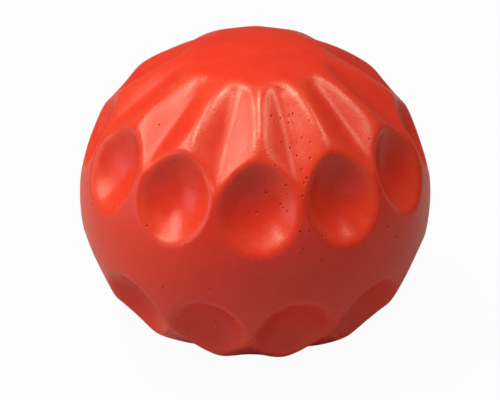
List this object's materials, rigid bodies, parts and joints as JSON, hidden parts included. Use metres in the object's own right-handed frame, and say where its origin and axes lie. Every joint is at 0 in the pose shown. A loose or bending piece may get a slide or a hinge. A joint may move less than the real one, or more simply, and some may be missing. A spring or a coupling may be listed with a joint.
{
  "type": "foam ball",
  "caption": "Soft high-bounce foam ball with a plain equator band, rows of round dimples beside it and shallow flutes that run up to plain polar caps.",
  "frame": {"origin": "middle of the small resting flat under the ball, which is also the middle of the bounding box's lowest face", "axes": "+Z along the ball's pole axis, square to the mould's parting plane, towards the upper half; -Y through the middle of an upper dimple"},
  "size_m": [0.065, 0.065, 0.0599],
  "materials": {
    "skin": "satin moulded polyurethane skin with a few fine pinholes",
    "foam": "matt fine-celled polyurethane foam"
  },
  "bodies": {
    "root": {"upper_skin": "skin", "lower_skin": "skin", "foam_core": "foam"}
  },
  "joints": []
}
